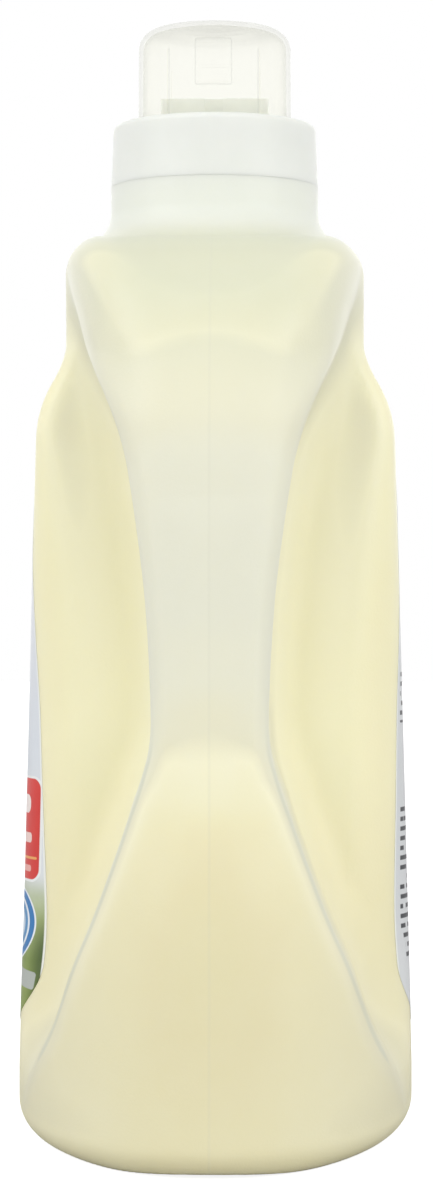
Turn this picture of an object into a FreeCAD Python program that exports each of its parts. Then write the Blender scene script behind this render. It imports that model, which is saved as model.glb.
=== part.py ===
import FreeCAD, Part
import Sketcher
import math
import os

# Laundry detergent bottle: a blow-moulded jug with a handle at one end, a
# press-in pour spout with a collar and drip tray, a dosing cup that closes it,
# the liquid inside and a film label on each broad face.
# Millimetres, +Z up, origin on the floor under the middle of the bottle.
# The broad faces look along -Y and +Y and the handle is at +X.

V = FreeCAD.Vector
os.makedirs("parts", exist_ok=True)
doc = FreeCAD.newDocument("detergent_bottle")

# ---------------------------------------------------------------- dimensions
SIZES = [
    # body, outside
    ("half_length", 93.5, "middle of the bottle to either end"),
    ("plan_centre", -10.5, "x of the widest section"),
    ("half_depth_base", 55.5, "half depth low down"),
    ("half_depth_top", 50.8, "half depth under the shoulder"),
    ("base_round", 7.5, "radius round the foot"),
    ("shoulder_round", 32.0, "radius of the chamber's shoulder"),
    ("shoulder_top", 223.0, "where that shoulder would end"),
    ("block_half_depth", 41.7, "half depth of the block under the neck"),
    ("body_top", 243.4, "top of the block"),
    ("block_round", 7.5, "radius round the block's top"),
    ("wall", 1.2, "wall of the blown body"),
    ("base_dish", 4.0, "push-up under the base"),
    ("dish_long", 70.0, "half length of the push-up"),
    ("dish_wide", 35.0, "half width of the push-up"),
    ("seam_depth", 0.9, "groove of the pinch-off along the base"),
    ("seam_half", 17.8, "half width of that groove"),
    # handle
    ("recess_wall", 17.9, "x of the wall behind the handle"),
    ("recess_inner", 10.5, "hollow radius where shelf meets wall"),
    ("recess_edge", 4.2, "rounding of the handle's own edges"),
    ("wide_edge_to", 28.0, "the broad face's edge is rounded widely up to this x"),
    ("wide_edge_end", 42.0, "and from this x on as the handle's own edges are"),
    ("grip_low_x", 30.5, "finger hole, chamber side"),
    ("grip_high_x", 61.0, "finger hole, handle side"),
    ("grip_low_z", 108.0, "finger hole, bottom"),
    ("grip_high_z", 199.5, "finger hole, top"),
    ("grip_corner", 14.7, "finger hole, corner radius"),
    ("grip_mouth", 7.0, "rounding of the finger hole's mouths"),
    # neck
    ("neck_x", 15.8, "axis of neck and closure"),
    ("stub_rad", 28.6, "neck below the collar"),
    ("stub_flare", 8.4, "how far the neck flares out where it meets the block"),
    ("stub_flare_top", 253.4, "top of the flare"),
    ("stub_top", 259.9, "seat of the collar"),
    ("finish_rad", 26.3, "neck inside the collar"),
    ("finish_top", 273.6, "top of the neck"),
    ("bore_rad", 24.8, "bore of the neck"),
    # pour spout
    ("collar_rad_low", 28.6, "collar at its lower edge"),
    ("collar_rad_high", 27.9, "collar at its top"),
    ("collar_low", 260.2, "lower edge of the collar"),
    ("collar_top", 277.3, "top of the collar"),
    ("collar_bore", 26.5, "inside of the collar's skirt"),
    ("collar_round", 1.7, "rounding of the collar's top"),
    ("deck", 2.0, "thickness of the collar's deck"),
    ("well_out", 24.8, "outside of the well, pressed into the neck"),
    ("well_in", 22.9, "inside of the well"),
    ("tray_low", 258.3, "underside of the drip tray"),
    ("tray_top", 260.0, "floor of the drip tray"),
    ("spout_out", 14.9, "outside of the spout"),
    ("spout_in", 13.4, "inside of the spout"),
    ("spout_top", 287.6, "highest point of the lip"),
    ("spout_fall", 5.0, "how far the lip falls to the back"),
    ("drain", 5.0, "width of the drain slot in the spout's back"),
    # dosing cup
    ("cup_rad", 21.2, "outside of the cup at its rim"),
    ("cup_rad_top", 21.0, "outside of the cup near its closed end"),
    ("cup_wall", 1.2, "wall of the cup"),
    ("cup_low", 262.0, "rim of the cup"),
    ("cup_top", 305.1, "closed end of the cup"),
    ("cup_crown", 9.5, "radius of the flat on the closed end"),
    ("cup_fall", 2.3, "fall from that flat to the corner"),
    ("cup_round", 5.6, "corner radius of the closed end"),
    ("cup_mark", 0.35, "height of the cup's ribs and frames"),
    ("rib_angle", 35.0, "ribs each side of the long axis, degrees"),
    ("frame_width", 10.0, "raised frame, width"),
    ("frame_low", 285.7, "raised frame, lower edge"),
    ("frame_high", 298.2, "raised frame, upper edge"),
    # liquid and labels
    ("fill_level", 239.0, "surface of the liquid"),
    ("liquid_gap", 0.1, "liquid to wall"),
    ("film", 0.15, "thickness of a label"),
    ("label_low", 27.3, "lower edge"),
    ("label_high", 180.6, "upper edge"),
    ("label_far", -77.7, "edge away from the handle"),
    ("front_near_low", 16.2, "front label's edge by the handle, low down"),
    ("front_near_high", 6.0, "front label's edge by the handle, at the top"),
    ("back_near_low", 13.2, "back label's edge by the handle, low down"),
    ("back_near_high", 3.0, "back label's edge by the handle, at the top"),
    ("label_corner", 17.0, "corner radius"),
]
sheet = doc.addObject("Spreadsheet::Sheet", "dims")
for row, (name, size, note) in enumerate(SIZES, start=1):
    sheet.set("A%d" % row, name)
    sheet.set("B%d" % row, repr(size))
    sheet.set("C%d" % row, note)
    sheet.setAlias("B%d" % row, name)
doc.recompute()
D = {name: float(sheet.get(name)) for name, _, _ in SIZES}


def words(text):
    return text.replace("-", " - ").replace("+", " + ").split()


def total(text):
    """The value of aliases and numbers joined by + and -."""
    value, sign = 0.0, 1.0
    for word in words(text):
        if word in "+-":
            sign = -1.0 if word == "-" else 1.0
        else:
            value += sign * (D[word] if word in D else float(word))
            sign = 1.0
    return value


def bound(text):
    """The same sum as an expression on the sheet's cells."""
    return " ".join("dims." + w if w in D else w for w in words(text))


# ------------------------------------------------------- the blown body's form
# Half width of the handle's outer face at each height. The edge of the recess
# runs along it: waisted at the grip, wide at the top and at the foot.
STRIP = [
    (0.0, 60.0), (10.5, 54.6), (18.0, 50.6), (23.1, 47.9), (29.4, 44.3),
    (50.4, 36.4), (65.1, 30.2), (77.7, 25.5), (89.3, 21.4), (95.6, 19.4),
    (101.9, 17.2), (108.2, 15.6), (115.5, 15.0), (123.9, 15.2), (137.6, 15.9),
    (149.1, 16.8), (162.8, 18.5), (175.4, 20.4), (182.7, 21.7), (189.0, 23.4),
    (198.5, 27.0), (206.9, 30.8), (215.3, 34.2), (224.4, 37.2), (233.1, 41.2),
    (241.5, 45.2), (252.0, 50.4),
]
# Radius at each height where the broad face turns into the recess's wall.
TURN = [
    (0.0, 4.2), (18.0, 5.0), (29.0, 10.0), (43.0, 14.5), (60.0, 17.5),
    (80.0, 18.0), (110.0, 18.0), (140.0, 15.0), (170.0, 9.0), (200.0, 4.2),
    (252.0, 4.2),
]


def smooth_slopes(xs, ys):
    """Slopes of a smooth curve through points that never overshoots them."""
    n = len(xs)
    step = [xs[i + 1] - xs[i] for i in range(n - 1)]
    rise = [(ys[i + 1] - ys[i]) / step[i] for i in range(n - 1)]
    out = [0.0] * n
    for i in range(1, n - 1):
        if rise[i - 1] * rise[i] > 0:
            mean = (step[i - 1] * rise[i] + step[i] * rise[i - 1]) / (step[i - 1] + step[i])
            most = 3 * min(abs(rise[i - 1]), abs(rise[i]))
            out[i] = max(-most, min(most, mean))
    out[0] = (3 * rise[0] - out[1]) / 2
    out[-1] = (3 * rise[-1] - out[-2]) / 2
    if out[0] * rise[0] < 0:
        out[0] = 0.0
    if out[-1] * rise[-1] < 0:
        out[-1] = 0.0
    return out


STRIP_SLOPES = smooth_slopes([p[0] for p in STRIP], [p[1] for p in STRIP])
TURN_SLOPES = smooth_slopes([p[0] for p in TURN], [p[1] for p in TURN])


def follow(table, slopes, z):
    """The value at height z of the smooth curve through a table, and its slope."""
    i = 0
    while i < len(table) - 2 and z > table[i + 1][0]:
        i += 1
    (za, ya), (zb, yb) = table[i], table[i + 1]
    h = zb - za
    s = min(max((z - za) / h, 0.0), 1.0)
    ma, mb = slopes[i] * h, slopes[i + 1] * h
    y = (
        ya * (2 * s**3 - 3 * s**2 + 1)
        + ma * (s**3 - 2 * s**2 + s)
        + yb * (3 * s**2 - 2 * s**3)
        + mb * (s**3 - s**2)
    )
    g = (
        ya * (6 * s * s - 6 * s)
        + ma * (3 * s * s - 4 * s + 1)
        + yb * (6 * s - 6 * s * s)
        + mb * (3 * s * s - 2 * s)
    ) / h
    return y, g


def strip_half(z):
    """Half width of the handle's outer face at height z, and its slope."""
    return follow(STRIP, STRIP_SLOPES, z)


def edge_round(x, z):
    """Rounding of the recess's outer edges at this place."""
    own, end = D["recess_edge"], D["wide_edge_end"]
    t = min(max((end - x) / (end - D["wide_edge_to"]), 0.0), 1.0)
    return own + (follow(TURN, TURN_SLOPES, z)[0] - own) * t * t * (3 - 2 * t)


def meet(a, b, r):
    """Inside both, with the edge between them rounded to r."""
    if a > -r and b > -r:
        return math.hypot(a + r, b + r) - r
    return max(a, b)


def join(a, b, r):
    """Inside either, with the hollow between them rounded to r."""
    return -meet(-a, -b, r)


def oval(x, y, near, far, half, power_near, power_far):
    """Distance, near enough, to an oval of plan with two unlike ends."""
    xc = D["plan_centre"]
    u, p = (x - xc, power_near) if x > xc else (xc - x, power_far)
    a = near if x > xc else far
    s, w = u / a, abs(y) / half
    q = (s**p + w**p) ** (1.0 / p) if s or w else 0.0
    if q < 1e-6:
        return -min(a, half)
    gx = q ** (1 - p) * s ** (p - 1) / a
    gy = q ** (1 - p) * w ** (p - 1) / half
    return (q - 1) / math.hypot(gx, gy)


# Each end of the broad face's top: where its fall starts, its run, its foot.
ROOF = ((-14.7, 82.0, 187.0, -1), (46.0, 51.5, 173.0, 1))


def roof(x, z):
    """Distance, near enough, to the outline of the broad face's top."""
    for edge, run, foot, out in ROOF:
        u = (x - edge) * out
        if u > 0:
            rise = D["body_top"] - foot
            w = (z - foot) / rise
            s = u / run
            if w <= 0:
                return (s - 1) * run + (z - foot) * 0.3
            q = math.hypot(s, w)
            return (q - 1) / math.hypot(s / q / run, w / q / rise)
    return z - D["body_top"]


def trunk(x, y, z):
    """Signed distance, near enough, to the body without its recess."""
    L, xc = D["half_length"], D["plan_centre"]
    low, high = D["half_depth_base"], D["half_depth_top"]
    s = min(max((z - 17.0) / 174.0, 0.0), 1.15)
    half = low + (high - low) * s
    chamber = oval(x, y, L - xc, L + xc, half, 2.15, 2.5)
    chamber = meet(chamber, z - D["shoulder_top"], D["shoulder_round"])
    block = oval(x, y, L - xc - 6, L + xc - 6, D["block_half_depth"], 2.7, 2.7)
    body = meet(join(chamber, block, 3.7), roof(x, z), D["block_round"])
    return meet(body, -z, D["base_round"])


def form(x, y, z):
    """Signed distance, near enough, to the blown body without its grip hole."""
    edge, slope = strip_half(z)
    shelf = (edge - abs(y)) / math.hypot(1.0, slope)
    hollow = meet(D["recess_wall"] - x, shelf, D["recess_inner"])
    return meet(trunk(x, y, z), -hollow, edge_round(x, z))


POLE = 2.0  # every section is seen whole from this x


def reach(angle, z, level):
    """How far the section at z goes from the pole, at this angle."""
    c, s = math.cos(angle), math.sin(angle)
    a, b = 1.0, 135.0
    for _ in range(36):
        r = 0.5 * (a + b)
        if form(POLE + r * c, r * s, z) < level:
            a = r
        else:
            b = r
    return 0.5 * (a + b)


def along(x, z, level):
    """Half depth of the section at this x, without the recess."""
    a, b = 0.0, 75.0
    for _ in range(30):
        y = 0.5 * (a + b)
        if trunk(x, y, z) < level:
            a = y
        else:
            b = y
    return 0.5 * (a + b)


def spread(a, b, n, pull_a, pull_b):
    """n steps from a to b, closer together near an end that pulls."""
    out = []
    for i in range(n):
        t = i / n
        if pull_a and pull_b:
            t = 0.5 - 0.5 * math.cos(math.pi * t)
        elif pull_b:
            t = math.sin(0.5 * math.pi * t)
        elif pull_a:
            t = 1 - math.cos(0.5 * math.pi * t)
        out.append(a + (b - a) * t)
    return out


def section(z, level):
    """Points round the section at z of the form grown by level. They keep to
    the handle's edge, the recess's inner corner and its outer edge."""
    wall_x = D["recess_wall"] + level
    depth = along(wall_x, z, level)
    edge = min(strip_half(z)[0] + level, depth - 3.0)
    a, b = wall_x + 4.0, 130.0
    for _ in range(30):
        x = 0.5 * (a + b)
        if along(x, z, level) > edge + 0.3:
            a = x
        else:
            b = x
    corner = math.atan2(edge, max(a, wall_x + 6.0) - POLE)
    inner = max(math.atan2(edge + 2.0, wall_x + 2.0 - POLE), corner + 0.06)
    outer = max(math.atan2(depth, wall_x - POLE), inner + 0.05)
    angles = spread(0.0, corner, 10, False, True)
    angles += spread(corner, inner, 14, True, True)
    angles += spread(inner, outer, 10, True, True)
    angles += spread(outer, math.pi, 24, True, False)
    angles.append(math.pi)
    half = []
    for t in angles:
        r = reach(t, z, level)
        half.append((POLE + r * math.cos(t), r * math.sin(t)))
    half[0] = (half[0][0], 0.0)
    half[-1] = (half[-1][0], 0.0)
    return half + [(x, -y) for x, y in half[-2:0:-1]]


# Heights of the sections, as shares of the body's height.
SHARES = [
    0.0, 0.0005, 0.0021, 0.0051, 0.0098, 0.0166, 0.0256, 0.0367, 0.0491,
    0.0661, 0.0853, 0.1045, 0.128, 0.1578, 0.1919, 0.2261, 0.2602, 0.2943,
    0.3284, 0.3583, 0.3839, 0.4073, 0.4308, 0.4564, 0.4862, 0.5246, 0.5716,
    0.6227, 0.6697, 0.7123, 0.7464, 0.7741, 0.7976, 0.8168, 0.8339, 0.8488,
    0.8616, 0.8718, 0.8812, 0.8936, 0.9085, 0.9234, 0.9384, 0.9512, 0.9622,
    0.9716, 0.9797, 0.9861, 0.9913, 0.9951, 0.9979, 0.9994, 1.0,
]


def skin(level):
    """A solid bounded by one smooth surface through the form's sections."""
    low, high = -level, D["body_top"] - 0.05 + level
    rows = []
    for share in SHARES:
        z = low + (high - low) * share
        inside = min(max(z, low + 0.03), high)
        rows.append([V(x, y, z) for x, y in section(inside, level)])
    count, m = len(rows[0]), len(rows)
    # where the points lie round the section and up the body, on average
    steps = [0.0] * count
    for r in rows:
        c = [(r[(i + 1) % count] - r[i]).Length for i in range(count)]
        for i in range(count):
            steps[i] += c[i] / sum(c)
    around = [0.0]
    for c in steps:
        around.append(around[-1] + c / sum(steps))
    around[-1] = 1.0
    up = [0.0]
    for i in range(m - 1):
        up.append(up[-1] + sum((rows[i + 1][k] - rows[i][k]).Length for k in range(count)))
    up = [a / up[-1] for a in up]
    poles = []
    for r in rows:
        curve = Part.BSplineCurve()
        curve.interpolate(Points=r, PeriodicFlag=True, Parameters=around)
        poles.append(curve.getPoles())
    grid = []
    for j in range(len(poles[0])):
        col = [poles[i][j] for i in range(m)]
        sx = smooth_slopes(up, [p.x for p in col])
        sy = smooth_slopes(up, [p.y for p in col])
        sz = smooth_slopes(up, [p.z for p in col])
        out = [col[0]]
        for i in range(m - 1):
            h = (up[i + 1] - up[i]) / 3.0
            out.append(col[i] + V(sx[i], sy[i], sz[i]) * h)
            out.append(col[i + 1] - V(sx[i + 1], sy[i + 1], sz[i + 1]) * h)
        out.append(col[-1])
        grid.append(out)
    surface = Part.BSplineSurface()
    surface.buildFromPolesMultsKnots(
        grid, curve.getMultiplicities(), [4] + [2] * (m - 2) + [4],
        curve.getKnots(), up, True, False, curve.Degree, 3,
    )
    side = surface.toShape()
    faces = [side]
    for e in side.Edges:
        if e.BoundBox.ZLength < 0.01:
            faces.append(Part.Face(Part.Wire([e])))
    shell = Part.Shell(faces)
    shell.sewShape()
    solid = Part.Solid(shell)
    if solid.Volume < 0:
        solid.reverse()
    return solid


# --------------------------------------------------------------- small helpers
def feature(name, shape):
    obj = doc.addObject("Part::Feature", name)
    obj.Shape = shape
    obj.Placement = FreeCAD.Placement()
    return obj


def boolean(kind, name, base, tool):
    obj = doc.addObject("Part::" + kind, name)
    obj.Base, obj.Tool = base, tool
    doc.recompute()
    return obj


def fused(name, shapes):
    obj = doc.addObject("Part::MultiFuse", name)
    obj.Shapes = shapes
    doc.recompute()
    return obj


def rounded(name, base, chosen, radius):
    """A Part fillet of the edges that chosen picks."""
    obj = doc.addObject("Part::Fillet", name)
    obj.Base = base
    obj.Edges = [
        (i, radius, radius)
        for i, e in enumerate(base.Shape.Edges, start=1)
        if chosen(e)
    ]
    doc.recompute()
    return obj


def set_all(obj, pairs):
    for prop, text in pairs:
        obj.setExpression(prop, bound(text))


def plane_of(body, role):
    return [f for f in body.Origin.OriginFeatures if f.Role == role][0]


def profile(body, name, corners):
    """A closed outline in the body's XZ plane. Each corner is a pair of sums
    of the sheet's cells, and the sketch is held by them."""
    sk = body.newObject("Sketcher::SketchObject", name)
    sk.AttachmentSupport = (plane_of(body, "XZ_Plane"), "")
    sk.MapMode = "FlatFace"
    pts = [V(total(a), total(b), 0) for a, b in corners]
    n = len(pts)
    for i in range(n):
        sk.addGeometry(Part.LineSegment(pts[i], pts[(i + 1) % n]), False)
    for i in range(n):
        sk.addConstraint(Sketcher.Constraint("Coincident", i, 2, (i + 1) % n, 1))
    for i, (a, b) in enumerate(corners):
        for kind, text in (("DistanceX", a), ("DistanceY", b)):
            c = sk.addConstraint(Sketcher.Constraint(kind, -1, 1, i, 1, total(text)))
            if text != "0":
                sk.setExpression("Constraints[%d]" % c, bound(text))
    return sk


def revolved(name, corners):
    """A body turned about its own Z axis, standing on the neck's axis."""
    body = doc.addObject("PartDesign::Body", name)
    sk = profile(body, name + "_profile", corners)
    rev = body.newObject("PartDesign::Revolution", name + "_turned")
    rev.Profile = sk
    rev.ReferenceAxis = (sk, ["V_Axis"])
    rev.Angle = 360.0
    body.Tip = rev
    body.setExpression("Placement.Base.x", bound("neck_x"))
    doc.recompute()
    return body


def filleted(body, name, picks):
    """Fillets on the body's round edges at these radii and heights."""
    for k, (rad, z, radius) in enumerate(picks):
        base, found = body.Tip, []
        for i, e in enumerate(base.Shape.Edges, start=1):
            b = e.BoundBox
            if b.ZLength < 1e-6 and abs(b.ZMin - total(z)) < 0.02 and abs(b.XLength / 2 - total(rad)) < 0.02:
                found.append("Edge%d" % i)
        fil = body.newObject("PartDesign::Fillet", "%s_%d" % (name, k))
        fil.Base = (base, found)
        fil.setExpression("Radius", bound(radius))
        body.Tip = fil
        doc.recompute()


# ------------------------------------------------------------------ the bottle
def grip(name, grow):
    """The finger hole's prism, grown by grow on every side."""
    box = doc.addObject("Part::Box", name + "_block")
    set_all(box, [
        ("Length", "grip_high_x - grip_low_x" + grow + grow),
        ("Height", "grip_high_z - grip_low_z" + grow + grow),
        ("Placement.Base.x", "grip_low_x" + grow.replace("+", "-")),
        ("Placement.Base.z", "grip_low_z" + grow.replace("+", "-")),
    ])
    box.Width = 160
    box.Placement.Base.y = -80
    doc.recompute()
    return rounded(
        name, box, lambda e: abs(e.BoundBox.YLength - 160) < 1,
        total("grip_corner" + grow),
    )


def mouth_edges(grow):
    x0, x1 = total("grip_low_x - %g" % (grow + 1)), total("grip_high_x + %g" % (grow + 1))
    z0, z1 = total("grip_low_z - %g" % (grow + 1)), total("grip_high_z + %g" % (grow + 1))

    def chosen(e):
        b = e.BoundBox
        return b.XMin > x0 and b.XMax < x1 and b.ZMin > z0 and b.ZMax < z1 and (b.YMin > 1 or b.YMax < -1)

    return chosen


def dish(name, rise):
    """The push-up under the base as a flat ellipsoid, raised by rise."""
    ball = doc.addObject("Part::Ellipsoid", name)
    set_all(ball, [
        ("Radius1", "base_dish" + rise),
        ("Radius2", "dish_long" + rise),
        ("Radius3", "dish_wide" + rise),
    ])
    ball.Angle1, ball.Angle2, ball.Angle3 = -90, 90, 360
    return ball


def seam(name, rise):
    """The shallow channel along the base, as a long cylinder under it."""
    depth, half = D["seam_depth"], D["seam_half"]
    radius = (half * half + depth * depth) / (2 * depth)
    bar = doc.addObject("Part::Cylinder", name)
    bar.Radius = radius
    bar.Height = 240
    bar.Placement = FreeCAD.Placement(
        V(-120, 0, depth - radius + rise), FreeCAD.Rotation(V(0, 1, 0), 90)
    )
    return bar


def hollowed(name, level, grow):
    """The form at this level, with the finger hole and the base's relief."""
    rise = -level
    base = feature(name + "_skin", skin(level))
    hole = grip(name + "_grip", grow)
    cut = boolean("Cut", name + "_gripped", base, hole)
    soft = rounded(name + "_soft", cut, mouth_edges(rise), D["grip_mouth"] - rise)
    under = fused(name + "_under", [
        dish(name + "_dish", " + %g" % rise if rise else ""), seam(name + "_seam", rise)
    ])
    return boolean("Cut", name, soft, under)


outside = hollowed("outside", 0.0, "")
flare = revolved("flare", [
    ("0", "body_top - 8"),
    ("stub_rad", "body_top - 8"),
    ("stub_rad + stub_flare", "body_top - 1"),
    ("stub_rad + 5.6", "body_top + 1"),
    ("stub_rad + 4.0", "body_top + 2"),
    ("stub_rad + 2.4", "body_top + 3.5"),
    ("stub_rad + 1.1", "body_top + 5.5"),
    ("stub_rad + 0.3", "body_top + 7.6"),
    ("stub_rad", "stub_flare_top"),
    ("0", "stub_flare_top"),
])
outside_all = fused("outside_all", [outside, flare])
inside = hollowed("inside", -D["wall"], " + wall")
bore = revolved("bore", [
    ("0", "body_top - 9"), ("bore_rad + 5", "body_top - 9"),
    ("bore_rad + 5", "body_top + 0.4"), ("bore_rad + 2", "body_top + 3.2"),
    ("bore_rad", "body_top + 7"),
    ("bore_rad", "finish_top + 3"), ("0", "finish_top + 3"),
])
inside_all = fused("inside_all", [inside, bore])
bottle = boolean("Cut", "bottle", outside_all, inside_all)
# The turned neck above the flare, one moulding with the bottle below it.
bottle_neck = revolved("bottle_neck", [
    ("bore_rad", "stub_flare_top"),
    ("stub_rad", "stub_flare_top"),
    ("stub_rad", "stub_top"),
    ("finish_rad", "stub_top"),
    ("finish_rad", "finish_top"),
    ("bore_rad", "finish_top"),
])

# ------------------------------------------------------------------ the liquid
filled = hollowed("filled", -D["wall"] - D["liquid_gap"], " + wall + liquid_gap")
above = doc.addObject("Part::Box", "above_level")
above.Length, above.Width, above.Height = 240, 160, 60
above.Placement.Base = V(-120, -80, 0)
above.setExpression("Placement.Base.z", bound("fill_level"))
detergent = boolean("Cut", "detergent", filled, above)

# -------------------------------------------------------------- the pour spout
spout_body = revolved("spout_body", [
    ("collar_rad_low", "collar_low"),
    ("collar_rad_high", "collar_top"),
    ("well_in", "collar_top"),
    ("well_in", "tray_top"),
    ("spout_out", "tray_top"),
    ("spout_out", "spout_top"),
    ("spout_in", "spout_top"),
    ("spout_in", "tray_low"),
    ("well_out", "tray_low"),
    ("well_out", "collar_top - deck"),
    ("collar_bore", "collar_top - deck"),
    ("collar_bore", "collar_low"),
])
filleted(spout_body, "collar_edge", [("collar_rad_high", "collar_top", "collar_round")])


def pocket(body, name, corners, half):
    """A cut through the body along Y, half to each side of its XZ plane."""
    before = body.Tip.Shape.Volume
    sk = profile(body, name + "_outline", corners)
    cut = body.newObject("PartDesign::Pocket", name)
    cut.Profile = sk
    cut.Midplane = True
    cut.Length = 2 * half
    body.Tip = cut
    doc.recompute()
    assert body.Tip.Shape.Volume < before - 1, name
    return cut


pocket(spout_body, "slanted_lip", [
    ("0 - spout_out - 1", "spout_top"),
    ("spout_out + 1", "spout_top - spout_fall"),
    ("spout_out + 1", "spout_top + 2"),
    ("0 - spout_out - 1", "spout_top + 2"),
], 18.0)
slot = pocket(spout_body, "drain_slot", [
    ("spout_in - 2", "tray_top"),
    ("spout_out + 1", "tray_top"),
    ("spout_out + 1", "spout_top"),
    ("spout_in - 2", "spout_top"),
], D["drain"] / 2)
slot.setExpression("Length", bound("drain"))
doc.recompute()

# -------------------------------------------------------------- the dosing cup
cup_body = revolved("cup_body", [
    ("cup_rad - cup_wall", "cup_low"),
    ("cup_rad", "cup_low"),
    ("cup_rad_top", "cup_top - cup_fall"),
    ("cup_crown", "cup_top"),
    ("0", "cup_top"),
    ("0", "cup_top - cup_wall"),
    ("cup_crown", "cup_top - cup_wall"),
    ("cup_rad_top - cup_wall", "cup_top - cup_fall - cup_wall"),
])
filleted(cup_body, "cup_edge", [
    ("cup_rad_top", "cup_top - cup_fall", "cup_round"),
    ("cup_rad_top - cup_wall", "cup_top - cup_fall - cup_wall", "cup_round - cup_wall"),
])


def cup_marks():
    """Upright ribs and a raised frame on two sides of the cup."""
    x, low = D["neck_x"], D["collar_top"] - 6.0
    high, mark = D["frame_high"], D["cup_mark"]
    up = D["cup_top"] - D["cup_low"]

    def cone(extra):
        return Part.makeCone(
            D["cup_rad"] + extra, D["cup_rad_top"] + extra, up, V(x, 0, D["cup_low"])
        )

    band = cone(mark).cut(cone(-0.4))
    keep = []
    for side in (0.0, 180.0):
        for angle in (-D["rib_angle"], D["rib_angle"]):
            rib = Part.makeBox(30, 0.8, high - low - 2.5, V(x, -0.4, low))
            rib.rotate(V(x, 0, 0), V(0, 0, 1), side + angle)
            keep.append(rib)
        w = D["frame_width"] / 2
        z0, z1 = D["frame_low"], D["frame_high"]
        frame = Part.makeBox(30, 2 * w, z1 - z0, V(x, -w, z0)).cut(
            Part.makeBox(32, 2 * w - 1.4, z1 - z0 - 1.4, V(x - 1, 0.7 - w, z0 + 0.7))
        )
        frame.rotate(V(x, 0, 0), V(0, 0, 1), side)
        keep.append(frame)
    marks = [band.common(k) for k in keep]
    return Part.makeCompound([s for m in marks for s in m.Solids])


marks = feature("cup_marks", cup_marks())
dosing_cup = fused("dosing_cup", [cup_body, marks])

# ------------------------------------------------------------------ the labels
film_skin = skin(D["film"])
plain_skin = outside.Shape.copy()


def label(side, near):
    """The film on one broad face: it follows the face between two levels."""
    corners = [
        V(D["label_far"], 0, D["label_low"]),
        V(D[near + "_near_low"], 0, D["label_low"]),
        V(D[near + "_near_high"], 0, D["label_high"]),
        V(D["label_far"], 0, D["label_high"]),
    ]
    face = Part.Face(Part.makePolygon(corners + corners[:1]))
    prism = face.extrude(V(0, side * 80.0, 0))
    upright = [e for e in prism.Edges if abs(e.BoundBox.YLength - 80.0) < 0.01]
    prism = prism.makeFillet(D["label_corner"], upright)
    film = film_skin.common(prism).cut(plain_skin)
    return max(film.Solids, key=lambda s: s.Volume)


front_label = feature("front_label", label(-1, "front"))
back_label = feature("back_label", label(1, "back"))

# ------------------------------------------------------------- check and write
pieces = [
    (bottle, "bottle"),
    (bottle_neck, "bottle_neck"),
    (detergent, "detergent"),
    (spout_body, "pour_spout"),
    (dosing_cup, "dosing_cup"),
    (front_label, "front_label"),
    (back_label, "back_label"),
]
doc.recompute()
bad = []
for obj in doc.Objects:
    if "Invalid" in obj.State or "Error" in obj.State:
        bad.append(obj.Name)
if bad:
    raise RuntimeError("objects failed: " + ", ".join(bad))
for obj, node in pieces:
    obj.Label = node
    shape = obj.Shape
    if shape.isNull() or not shape.isValid() or not shape.Solids:
        raise RuntimeError(node + " has no valid shape")
    print(
        "%-12s solids %d faces %d volume %.1f cm3 box %s"
        % (node, len(shape.Solids), len(shape.Faces), shape.Volume / 1000.0, shape.BoundBox)
    )
for obj, node in pieces:
    obj.Shape.exportStep("parts/%s.step" % node)
print("written")
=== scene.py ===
import math

import bpy
import numpy as np
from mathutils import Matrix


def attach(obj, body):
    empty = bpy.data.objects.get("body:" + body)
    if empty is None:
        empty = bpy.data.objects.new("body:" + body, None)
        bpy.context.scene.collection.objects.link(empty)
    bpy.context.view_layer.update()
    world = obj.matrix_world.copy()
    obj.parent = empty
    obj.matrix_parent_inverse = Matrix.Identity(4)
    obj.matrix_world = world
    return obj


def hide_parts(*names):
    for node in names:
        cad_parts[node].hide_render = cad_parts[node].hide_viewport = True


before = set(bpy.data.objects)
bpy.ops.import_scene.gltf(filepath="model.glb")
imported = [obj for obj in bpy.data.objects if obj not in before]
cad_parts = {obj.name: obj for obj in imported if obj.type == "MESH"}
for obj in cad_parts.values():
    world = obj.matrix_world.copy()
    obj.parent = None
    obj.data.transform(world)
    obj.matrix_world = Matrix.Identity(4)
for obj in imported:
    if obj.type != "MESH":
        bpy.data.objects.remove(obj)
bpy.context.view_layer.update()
MM = 0.001

# ---------------------------------------------------------------- the form, mm
# The same form as the frame's bottle, as signed distances on arrays of points.
HALF_LENGTH, PLAN_CENTRE = 93.5, -10.5
HALF_LOW, HALF_HIGH = 55.5, 50.8
BASE_ROUND, SHOULDER_ROUND, SHOULDER_TOP = 7.5, 32.0, 223.0
BLOCK_HALF, BODY_TOP, BLOCK_ROUND = 41.7, 243.35, 7.5
RECESS_WALL, RECESS_INNER, RECESS_EDGE = 17.9, 10.5, 4.2
GRIP = (30.5, 61.0, 108.0, 199.5, 14.7, 7.0)
DISH = (70.0, 35.0, 4.0)
SEAM_DEPTH, SEAM_HALF = 0.9, 17.8
NECK_X, NECK_R = 15.8, 28.6
WALL, FILL_LEVEL = 1.2, 239.0
ROOF = ((-14.7, 82.0, 187.0, -1), (46.0, 51.5, 173.0, 1))
STRIP = np.array([
    (0.0, 60.0), (10.5, 54.6), (18.0, 50.6), (23.1, 47.9), (29.4, 44.3),
    (50.4, 36.4), (65.1, 30.2), (77.7, 25.5), (89.3, 21.4), (95.6, 19.4),
    (101.9, 17.2), (108.2, 15.6), (115.5, 15.0), (123.9, 15.2), (137.6, 15.9),
    (149.1, 16.8), (162.8, 18.5), (175.4, 20.4), (182.7, 21.7), (189.0, 23.4),
    (198.5, 27.0), (206.9, 30.8), (215.3, 34.2), (224.4, 37.2), (233.1, 41.2),
    (241.5, 45.2), (252.0, 50.4),
])
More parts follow.
